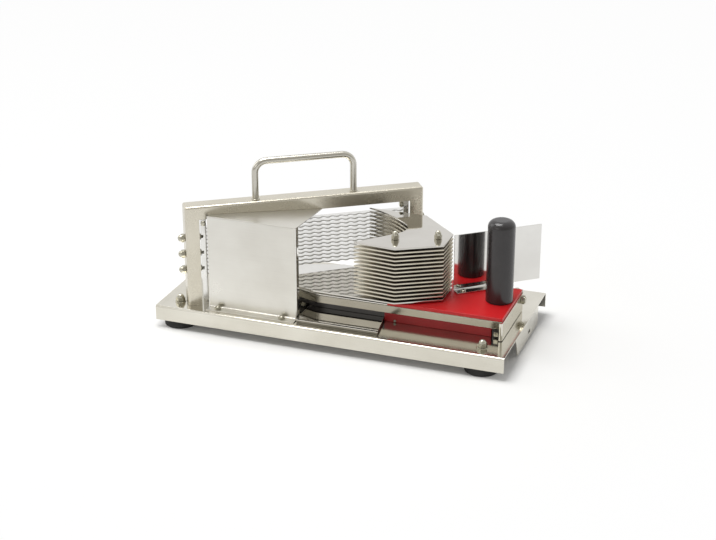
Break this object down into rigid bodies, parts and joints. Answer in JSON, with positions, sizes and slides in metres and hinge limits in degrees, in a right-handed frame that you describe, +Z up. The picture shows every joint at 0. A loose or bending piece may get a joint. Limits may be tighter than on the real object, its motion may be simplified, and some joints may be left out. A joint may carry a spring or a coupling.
{
  "type": "tomato slicer",
  "caption": "Countertop hand slicer: a sliding pusher of stacked plates drives a tomato through a diagonal pack of horizontal blades in a portal frame on a footed steel base.",
  "frame": {"origin": "on the ground under the middle of the base tray", "axes": "+Z up, +X along the base towards the grip, +Y to the back, away from the user's side in the picture"},
  "size_m": [0.43, 0.195, 0.2033],
  "materials": {
    "steel": "satin stainless steel sheet and bar",
    "polished": "bright polished stainless steel sheet",
    "red_board": "red polyethylene board, satin",
    "black_grip": "black moulded plastic, satin",
    "rubber": "black rubber, matt"
  },
  "bodies": {
    "stand": {"base_tray": "steel", "rubber_foot_front_left": "rubber", "rubber_foot_front_right": "rubber", "rubber_foot_rear_left": "rubber", "rubber_foot_rear_right": "rubber", "foot_bolt_front_left": "steel", "foot_bolt_front_right": "steel", "foot_bolt_rear_left": "steel", "foot_bolt_rear_right": "steel", "blade_frame": "steel", "blade_holder_left": "steel", "blade_holder_right": "steel", "tension_bolt_left_1": "steel", "tension_bolt_left_2": "steel", "tension_bolt_left_3": "steel", "tension_bolt_right_1": "steel", "tension_bolt_right_2": "steel", "tension_bolt_right_3": "steel", "blade_01": "polished", "blade_02": "polished", "blade_03": "polished", "blade_04": "polished", "blade_05": "polished", "blade_06": "polished", "blade_07": "polished", "blade_08": "polished", "blade_09": "polished", "blade_10": "polished", "blade_11": "polished", "blade_12": "polished", "blade_13": "polished", "carry_handle": "polished", "front_guard": "polished", "table_rail": "steel", "table_plate": "polished", "support_block": "red_board", "bed_strip": "polished", "end_bracket": "steel"},
    "carriage": {"carriage_board": "red_board", "guide_key": "steel", "retainer_plate": "steel", "pusher_plate_01": "polished", "pusher_plate_02": "polished", "pusher_plate_03": "polished", "pusher_plate_04": "polished", "pusher_plate_05": "polished", "pusher_plate_06": "polished", "pusher_plate_07": "polished", "pusher_plate_08": "polished", "pusher_plate_09": "polished", "pusher_plate_10": "polished", "pusher_plate_11": "polished", "pusher_plate_12": "polished", "pusher_plate_13": "polished", "pusher_plate_14": "polished", "pusher_plate_15": "polished", "pusher_pin_front": "steel", "pusher_pin_rear": "steel", "grip": "black_grip", "hand_guard": "polished"}
  },
  "joints": [
    {"name": "pusher_slide", "type": "slide", "parent": "stand", "child": "carriage", "axis": [-1, 0, 0], "range_m": [0, 0.144]}
  ]
}
